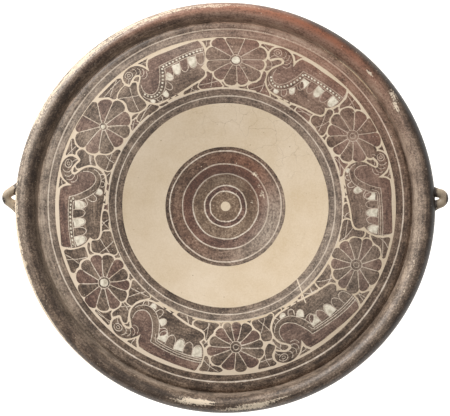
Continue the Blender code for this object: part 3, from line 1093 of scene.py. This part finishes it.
def handMade(piece):
    # sets the painted rings off centre, dries the pot oval and chips its lip
    mesh = piece.data
    points = meshPoints(mesh)
    radius = np.hypot(points[:, 0], points[:, 1])
    angle = np.arctan2(points[:, 1], points[:, 0])
    top = (points[:, 2] > topHeight(radius) - dish["topSkin"]) & (radius < hand["paintReach"])
    around, across = hand["wanderAround"], hand["wanderAcross"]
    wander = np.array([noise.noise(Vector((around * math.cos(a) + 5, around * math.sin(a), r * across)))
                       for a, r in zip(angle, radius)])
    end, fade = hand["wanderEnd"]
    wander *= hand["wander"] * np.clip((end - radius) / fade, 0, 1) * np.clip(radius / 10, 0, 1)
    scale = 1 + wander / np.maximum(radius, 1)
    knots, shiftX, shiftY = np.array(offCentre).T
    newX = points[:, 0] * scale + np.interp(radius, knots, shiftX)
    newY = points[:, 1] * scale + np.interp(radius, knots, shiftY)
    points[top, 2] += (topHeight(np.hypot(newX, newY)) - topHeight(radius))[top]
    points[top, 0], points[top, 1] = newX[top], newY[top]
    lip = (radius > lipInner) & (points[:, 2] > lipMid - dish["lipSide"])
    degrees = np.degrees(angle) % 360
    for at, r, spread, width, depth in chips:
        away = (degrees - at + 180) % 360 - 180
        near = np.exp(-(away / spread) ** 4 - ((radius - r) / width) ** 4) * lip
        rough = np.array([0.5 + 0.8 * noise.noise(Vector(p) * 0.9) if n > 0.05 else 0
                          for p, n in zip(points, near)])
        sink = depth * near * np.clip(rough, 0, 1.2)
        points[:, 2] -= sink * 0.8
        points[:, 0] -= np.cos(angle) * sink * 0.5
        points[:, 1] -= np.sin(angle) * sink * 0.5
    points[:, 1] *= ovalAt(np.hypot(points[:, 0], points[:, 1]))
    mesh.vertices.foreach_set("co", (points * mm).ravel())
    mesh.update()


handles = {
    # degrees from the axis, degrees that each arm makes with the rim
    "left": (177.2, 58.0),
    "right": (2.5, 74.0),
    "length": 9.3,             # lip to tip
    "drop": 0.5,
    "tilt": 6.0,
    "roll": 3.2,               # radius of the roll of clay
    "rootSpread": 1.45,
    "bendGap": 0.5,
    "rootDepth": 4.2,
    "around": 20,              # faces round the roll, along the bend and along an arm
    "bendSteps": 7,
    "armSteps": 7,
    "dentScale": 0.22,         # dents left by the fingers: their scale, sideways share and height
    "dentSide": 0.035,
    "dentHeight": 0.18,
}


def giveMaterials(mesh):
    for material in materials:
        mesh.materials.append(material)


def makeHandle(name):
    # half a loop: a ring of the roll at the tip, spun through the bend, then drawn down the arm
    direction, armAngle = (math.radians(v) for v in handles[name])
    roll, root = handles["roll"], dish["rimRadius"] - handles["rootDepth"]
    tip = dish["rimRadius"] + handles["length"] - roll
    bend = roll + handles["bendGap"]
    turn = math.pi / 2 - armAngle
    height = lipMid - handles["drop"]
    deselectAll()
    bpy.ops.mesh.primitive_circle_add(vertices=handles["around"], radius=roll * mm, fill_type="NOTHING",
                                      rotation=(math.pi / 2, 0, 0), location=(tip * mm, 0, height * mm))
    piece = bpy.context.object
    piece.name = name + "Handle"
    bpy.ops.object.transform_apply(location=True, rotation=True)
    editAll()
    bpy.ops.mesh.spin(steps=handles["bendSteps"], angle=armAngle, axis=(0, 0, 1),
                      center=((tip - bend) * mm, 0, height * mm))
    # the open ring's middle tells which way the bend went
    mesh = piece.data
    ring = bmesh.from_edit_mesh(mesh)
    chosen = [v.co.copy() for v in ring.verts if v.select]
    middle = sum(chosen, Vector()) / len(chosen)
    side = 1.0 if middle.y > 0 else -1.0
    spread = (middle.x / mm - root) * math.tan(turn)
    last, lastThick = middle, 1.0
    for i in range(1, handles["armSteps"] + 1):
        along = i / handles["armSteps"]
        place = Vector(((middle.x / mm + (root - middle.x / mm) * along) * mm,
                        middle.y + side * spread * along * mm, height * mm))
        thick = 1.0 + (handles["rootSpread"] - 1.0) * along ** 2
        bpy.ops.mesh.extrude_region_move(TRANSFORM_OT_translate={"value": tuple(place - last)})
        factor = thick / lastThick
        bpy.ops.transform.resize(value=(factor, factor, factor), center_override=tuple(place))
        last, lastThick = place, thick
    bpy.ops.mesh.edge_face_add()
    bpy.ops.object.mode_set(mode="OBJECT")
    mirror = piece.modifiers.new("other half", "MIRROR")
    mirror.use_axis = (False, True, False)
    mirror.merge_threshold = 0.05 * mm
    makeActive(piece)
    bpy.ops.object.modifier_apply(modifier=mirror.name)
    editAll()
    bpy.ops.mesh.remove_doubles(threshold=0.02 * mm)
    bpy.ops.mesh.normals_make_consistent(inside=False)
    bpy.ops.object.mode_set(mode="OBJECT")
    points = meshPoints(mesh)
    points[:, 2] += (points[:, 0] - root) * math.tan(math.radians(handles["tilt"]))
    for p in points:             # pressed by fingers, not drawn
        push = noise.noise(Vector(p) * handles["dentScale"] + Vector((direction * 9, 0, 0)))
        p[1] *= 1 + handles["dentSide"] * push
        p[2] += handles["dentHeight"] * push
    turned = points.copy()
    turned[:, 0] = points[:, 0] * math.cos(direction) - points[:, 1] * math.sin(direction)
    turned[:, 1] = points[:, 0] * math.sin(direction) + points[:, 1] * math.cos(direction)
    mesh.vertices.foreach_set("co", (turned * mm).ravel())
    mesh.update()
    giveMaterials(mesh)
    # islands for the bake, the upper side over the lower one
    layer = mesh.uv_layers.new(name="OFBake")
    scale = atlas["handleScale"]
    for face in mesh.polygons:
        face.material_index = slip
        left, low = atlas["handleCorner"]
        left += 0.0 if name == "left" else atlas["rightShift"]
        low += atlas["lowerShift"] if face.normal.z < 0 else 0.0
        for loop in face.loop_indices:
            x, y = points[mesh.loops[loop].vertex_index][:2]
            layer.uv[loop].vector = (left + (x - root) * scale, low + y * scale)
    return piece


def joinHandle(body, handle):
    union = body.modifiers.new("luted on", "BOOLEAN")
    union.operation = "UNION"
    union.solver = "EXACT"
    union.object = handle
    makeActive(body)
    bpy.ops.object.modifier_apply(modifier=union.name)
    bpy.data.objects.remove(handle, do_unlink=True)


spots = {
    # angle in degrees, radius in mm, half spread in degrees and in mm, amount
    "wearAndSheen": [                  # rubbed or flaked through to the clay, and broad painted sheen and highlight on the lower right
        (20, 27.6, 8, 2.4, 0.72), (12, 20, 6, 1.6, 0.6), (48, 31.6, 8, 2.2, 0.7), (34, 28.4, 6, 1.8, 0.6),
        (330, 60, 60, 40, 0.1), (259, 137, 7, 3.0, 0.62), (264, 135.4, 5, 1.6, 0.5),
        (277, 140, 9, 2.2, 0.66), (34, 140.4, 3.4, 3.0, 0.62), (30, 137.6, 2.4, 1.8, 0.6),
        (43, 137.5, 1.8, 1.4, 0.7), (135, 143.4, 40, 3.0, 0.5), (120, 140.2, 24, 2.8, 0.4),
        (160, 145.6, 34, 2.4, 0.25), (92, 140.8, 16, 1.8, 0.4), (190, 145.2, 18, 1.6, 0.3),
        (45, 130.6, 20, 0.6, 0.8), (285, 138, 14, 1.8, 0.4), (345, 136, 30, 2.4, 0.18),
        (20, 136, 26, 2.6, 0.12), (268, 143.8, 14, 1.4, 0.25), (57, 113, 9, 3.5, 0.35),
        (20, 80, 20, 4, 0.2), (315, 120, 80, 30, 0.1), (218, 145.5, 20, 1.6, 0.5),
        (332, 137.6, 16, 2.0, 0.2), (85, 105, 12, 10, 0.2), (60, 125.6, 40, 0.7, 0.4),
        (110, 125.6, 40, 0.7, 0.4), (185, 146.4, 14, 0.8, 0.4), (212, 145.4, 14, 1.1, 0.7),
        (238, 144.1, 18, 0.7, 0.6),
    ],
    "redFiring": [             # fired red
        (86, 140.5, 26, 4.5, 0.7), (58, 138.5, 18, 4.0, 0.4), (112, 139.5, 20, 3.2, 0.55),
        (56, 134, 34, 4, 0.6), (64, 137.5, 26, 4, 0.3), (28, 27, 34, 7, 0.35), (60, 35, 60, 5, 0.45),
        (60, 103, 44, 22, 0.42), (5, 103, 30, 20, 0.15), (230, 34, 70, 4, 0.3), (70, 52, 40, 5, 0.25),
        (130, 26.5, 100, 3.5, 0.3), (60, 124, 32, 7, 0.55),
    ],
    "dustAndSheen": [                  # pale and dusty, and painted sheen on the lower right of the middle rings and of the lip's inner face
        (325, 34, 50, 7, 0.52), (270, 18.5, 60, 5, 0.1), (355, 33, 40, 8, 0.42), (240, 34.5, 50, 4, 0.15),
        (335, 75, 50, 5, 0.38), (260, 78, 60, 5, 0.26), (30, 77, 90, 5, 0.26), (140, 77, 60, 5, 0.14),
        (0, 101, 400, 15, 0.14), (150, 100, 20, 18, 0.14), (105, 115, 7, 4.5, 0.4), (85, 122, 60, 3, 0.36),
        (165, 122, 50, 3, 0.42), (60, 128.4, 26, 2.6, 0.36), (120, 128.2, 90, 3, 0.3),
        (175, 127.8, 34, 3.2, 0.34), (215, 128, 36, 3.0, 0.24), (40, 130.6, 40, 0.8, 0.3),
        (215, 130.4, 40, 1.0, 0.5), (280, 130.6, 50, 0.8, 0.35), (335, 135.5, 40, 4.0, 0.36),
        (275, 134, 30, 3.0, 0.2), (5, 132.8, 30, 2.0, 0.42), (20, 137, 24, 3.0, 0.2),
        (60, 133.6, 34, 3.0, 0.42), (90, 136, 20, 3, 0.2), (210, 133, 26, 3, 0.24),
        (190, 131.4, 26, 1.6, 0.2), (238, 131.6, 18, 0.9, 0.2), (345, 100, 40, 22, 0.08),
        (80, 100, 40, 20, 0.1), (135, 142.4, 46, 3.0, 0.85), (118, 140, 22, 2.4, 0.3),
        (180, 141, 24, 2, 0.2), (45, 101, 75, 18, 0.13), (330, 101, 25, 18, 0.1), (0, 52, 60, 8, 0.2),
        (290, 52, 60, 8, 0.12),
    ],
    "stainAndShade": [                  # fired or stained dark, and painted shade on the faces of the lip turned away from the light
        (150, 135.8, 40, 3.4, 0.35), (190, 135, 24, 2.6, 0.2), (335, 145.4, 56, 2.4, 0.6),
        (20, 145.2, 34, 2.4, 0.6), (0, 142.6, 44, 2.2, 0.3), (300, 142.4, 40, 2.2, 0.35),
        (240, 144.2, 34, 3.0, 0.4), (305, 131.8, 24, 1.6, 0.5), (302, 136, 16, 3.0, 0.2),
        (240, 137.5, 18, 4.0, 0.5), (240, 134.6, 18, 1.6, 0.4), (120, 128.2, 13, 1.8, 0.35),
        (290, 122, 60, 2.4, 0.12), (120, 34, 70, 8, 0.1), (120, 78, 80, 6, 0.05), (170, 26, 80, 4, 0.2),
        (50, 26, 60, 4, 0.3), (120, 26, 70, 5, 0.3), (90, 19, 100, 3.8, 0.35), (62, 143.6, 14, 2.6, 0.5),
        (90, 144.6, 14, 1.8, 0.7), (118, 145.6, 26, 1.7, 0.7), (152, 145.9, 18, 1.6, 0.55),
        (270, 143.8, 14, 1.7, 0.5), (300, 124.8, 50, 0.9, 0.5), (45, 101, 75, 18, 0.15),
        (330, 101, 25, 18, 0.12), (42, 142, 22, 3.4, 0.4), (60, 136, 14, 4, 0.2), (2.5, 151, 4, 7, 0.55),
        (177, 151, 4, 7, 0.25), (178.2, 155.2, 1.1, 2.0, 1.2),
    ],
    "crackle": [               # finely cracked
        (55, 58, 32, 18, 1.0), (95, 62, 22, 14, 0.7), (330, 60, 30, 12, 0.25),
    ],
    "dull": [                  # the clay between the figures is less pale
        (45, 101, 75, 26, 0.5), (330, 101, 30, 26, 0.3),
    ],
}
brush = {
    # the slip on the outside of the lip; a pair is a mean value and how much it varies
    "strokes": 80,
    "wander": 0.06,            # of a gap between two strokes, in spacings
    "gapHalf": (1.7, 0.4),     # its half width
    "gapTop": (-8, 4),         # its upper end, in degrees as lipAngle counts them
    "climb": (60, 12),         # it goes so much higher where the slip ran short, on one side only
    "climbStart": (175, 182),
    "climbEnd": (202, 212),
    "lowest": (-42, 4),        # the brush went down to here
    "softTurn": 20,
    "softWidth": 3.0,
    "rightTip": 1.9,           # of the right handle's tip is dark
    "leftSpot": (4.2, 2.6),    # the left one's dark spot, from the axis, and its radius
}
groundDust = {
    # pale slip dust on the clay between the figures, and the radii over which it starts and ends
    "amount": 0.55,
    "start": (81.0, 82.5),
    "end": (118.6, 119.6),
}


def spotField(points, rows):
    radius = np.hypot(points[:, 0], points[:, 1])
    degrees = np.degrees(np.arctan2(points[:, 1], points[:, 0])) % 360
    total = np.zeros(len(points))
    for at, r, spread, width, amount in rows:
        away = (degrees - at + 180) % 360 - 180
        total += amount * np.exp(-(away / spread) ** 2 - ((radius - r) / width) ** 2)
    return total


def bareField(points):
    # above 0.5 where the brush never went: between the strokes on the outside of the lip, below
    # them, and on the handles but for the dark end of each
    radius = np.hypot(points[:, 0], points[:, 1] / dish["rimOval"])
    degrees = np.degrees(np.arctan2(points[:, 1], points[:, 0])) % 360
    turn = lipAngle(radius, points[:, 2])
    onLip = (radius > lipCrest) & (points[:, 2] > lipMid - dish["lipDrop"] * 1.01)
    period = 360 / brush["strokes"]
    number = np.floor(degrees / period).astype(int)
    source = random.Random(12)
    shifts = [[source.uniform(-1, 1) for value in range(4)] for stroke in range(brush["strokes"] + 1)]
    placeShift, topShift, widthShift, lowShift = np.array(shifts)[number].T
    away = np.abs((degrees - number * period) / period - 0.5 - brush["wander"] * placeShift)
    away = away * period * math.radians(1) * radius
    climb = (brush["climb"][0] + brush["climb"][1] * lowShift) * smooth(*brush["climbStart"], degrees)
    climb = climb * (1 - smooth(*brush["climbEnd"], degrees))
    gapTop = brush["gapTop"][0] + brush["gapTop"][1] * topShift + climb
    half = brush["gapHalf"][0] + brush["gapHalf"][1] * widthShift
    gap = np.clip(0.5 + (half - away) / brush["softWidth"], 0, 1)
    gap = gap * np.clip(0.6 + (gapTop - turn) / brush["softTurn"], 0, 1)
    lowest = brush["lowest"][0] + brush["lowest"][1] * lowShift
    below = np.clip(0.5 + (lowest - turn) / brush["softTurn"], 0, 1)
    bare = np.where(onLip, np.maximum(gap, below), 0.0)
    # the right handle is dark at its tip, the left one on one side
    out = np.abs(points[:, 0]) - dish["rimRadius"]
    right = np.clip(0.5 + (handles["length"] - brush["rightTip"] - out) / 2.0, 0, 1)
    side, spread = brush["leftSpot"]
    spot = np.hypot(out - handles["length"], (points[:, 1] - side) * 0.8)
    left = np.clip(0.5 + (spot - spread) / 2.0, 0, 1)
    return np.where(out > 0.7, np.where(points[:, 0] > 0, right, left), bare)


def addFields(mesh):
    points = meshPoints(mesh)
    radius = np.hypot(points[:, 0], points[:, 1])
    fields = {name: spotField(points, rows) for name, rows in spots.items()}
    amount = np.clip(groundDust["amount"] - fields.pop("dull"), 0, 1) * (points[:, 2] > topLevel)
    fields["groundDust"] = amount * smooth(*groundDust["start"], radius)
    fields["groundDust"] *= 1 - smooth(*groundDust["end"], radius)
    fields["unpainted"] = bareField(points)
    for name, values in fields.items():
        field = mesh.attributes.new(name, "FLOAT", "POINT")
        field.data.foreach_set("value", np.clip(values, 0, 1.2).astype(np.float32))


def putTogether():
    for piece in (insideDish, outsideDish, paintedZone):
        giveMaterials(piece.data)
    paintBands(insideDish.data)
    paintBands(outsideDish.data)
    mapTop()
    makeActive(insideDish)
    outsideDish.select_set(True)
    paintedZone.select_set(True)
    bpy.ops.object.join()
    body = bpy.context.object
    editAll()
    bpy.ops.mesh.remove_doubles(threshold=0.008 * mm)
    bpy.ops.mesh.quads_convert_to_tris()
    bpy.ops.mesh.normals_make_consistent(inside=False)
    bpy.ops.object.mode_set(mode="OBJECT")
    handMade(body)
    for name in ("left", "right"):
        joinHandle(body, makeHandle(name))
    makeActive(body)
    editAll()
    bpy.ops.mesh.quads_convert_to_tris()
    bpy.ops.object.mode_set(mode="OBJECT")
    bpy.ops.object.shade_smooth_by_angle(angle=math.radians(dish["smoothAngle"]))
    addFields(body.data)
    return body


plateBody = putTogether()
plateBody.name = "plateBody"
loose = bmesh.new()
loose.from_mesh(plateBody.data)
openEdges = sum(1 for e in loose.edges if not e.is_manifold)
loose.free()
print("plate put together:", len(plateBody.data.polygons), "triangles,", openEdges, "open edges")

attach(plateBody, "root")
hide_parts("plate")

# stage, light and camera

studio = {
    "skyStrength": 0.42,
    "floorSize": 6000.0,
    "azimuth": 130.0,          # degrees from +X, the side that both lights come from
    "lights": [
        # name, degrees above the floor, strength, softness in degrees, whether it casts a shadow
        ("keyLight", 25.0, 3.4, 25.0, False),     # raking, to model the slopes, with no cast shadow
        ("topLight", 68.0, 0.55, 90.0, True),     # broad overhead light, which casts the soft shadow
    ],
    "paperGlow": 0.55,
    "cameraHeight": 1524.0,
    "lipHeight": 24.0,         # where the frame is frameWidth wide
    "frameWidth": 312.6,
    "frameMiddle": (-0.14, -0.14),
    "sensor": 36.0,
}


def makeStage():
    deselectAll()
    bpy.ops.mesh.primitive_plane_add(size=studio["floorSize"] * mm, location=(0, 0, 0))
    floor = bpy.context.object
    floor.name = "paperFloor"
    # white paper on a light table: pale, plain and without shine
    material, shader = startMaterial("white paper", 0.95, 0.1)
    shader.inputs["Base Color"].default_value = hexColour(paint["paper"])
    shader.inputs["Emission Color"].default_value = (1, 1, 1, 1)
    shader.inputs["Emission Strength"].default_value = studio["paperGlow"]
    floor.data.materials.append(material)


def makeLight():
    world = bpy.data.worlds.new("soft studio")
    bpy.context.scene.world = world
    world.use_nodes = True
    background = world.node_tree.nodes["Background"]
    background.inputs["Color"].default_value = (1, 1, 1, 1)
    background.inputs["Strength"].default_value = studio["skyStrength"]
    for name, height, strength, softness, shadow in studio["lights"]:
        turn, lift = math.radians(studio["azimuth"]), math.radians(height)
        source = Vector((math.cos(turn) * math.cos(lift), math.sin(turn) * math.cos(lift), math.sin(lift)))
        bpy.ops.object.light_add(type="SUN", location=source)
        light = bpy.context.object
        light.name = name
        light.rotation_euler = source.to_track_quat("Z", "Y").to_euler()
        light.data.energy = strength
        light.data.angle = math.radians(softness)
        light.data.use_shadow = shadow


def makeCamera():
    x, y = studio["frameMiddle"]
    height = studio["cameraHeight"]
    bpy.ops.object.camera_add(location=(x * mm, y * mm, height * mm), rotation=(0, 0, 0))
    camera = bpy.context.object
    camera.data.sensor_width = studio["sensor"]
    camera.data.sensor_fit = "HORIZONTAL"
    camera.data.lens = studio["sensor"] * (height - studio["lipHeight"]) / studio["frameWidth"]
    camera.data.clip_end = 20
    bpy.context.scene.camera = camera


makeStage()
makeLight()
makeCamera()
bpy.context.scene.view_settings.view_transform = "Standard"
print("stage, light and camera set")
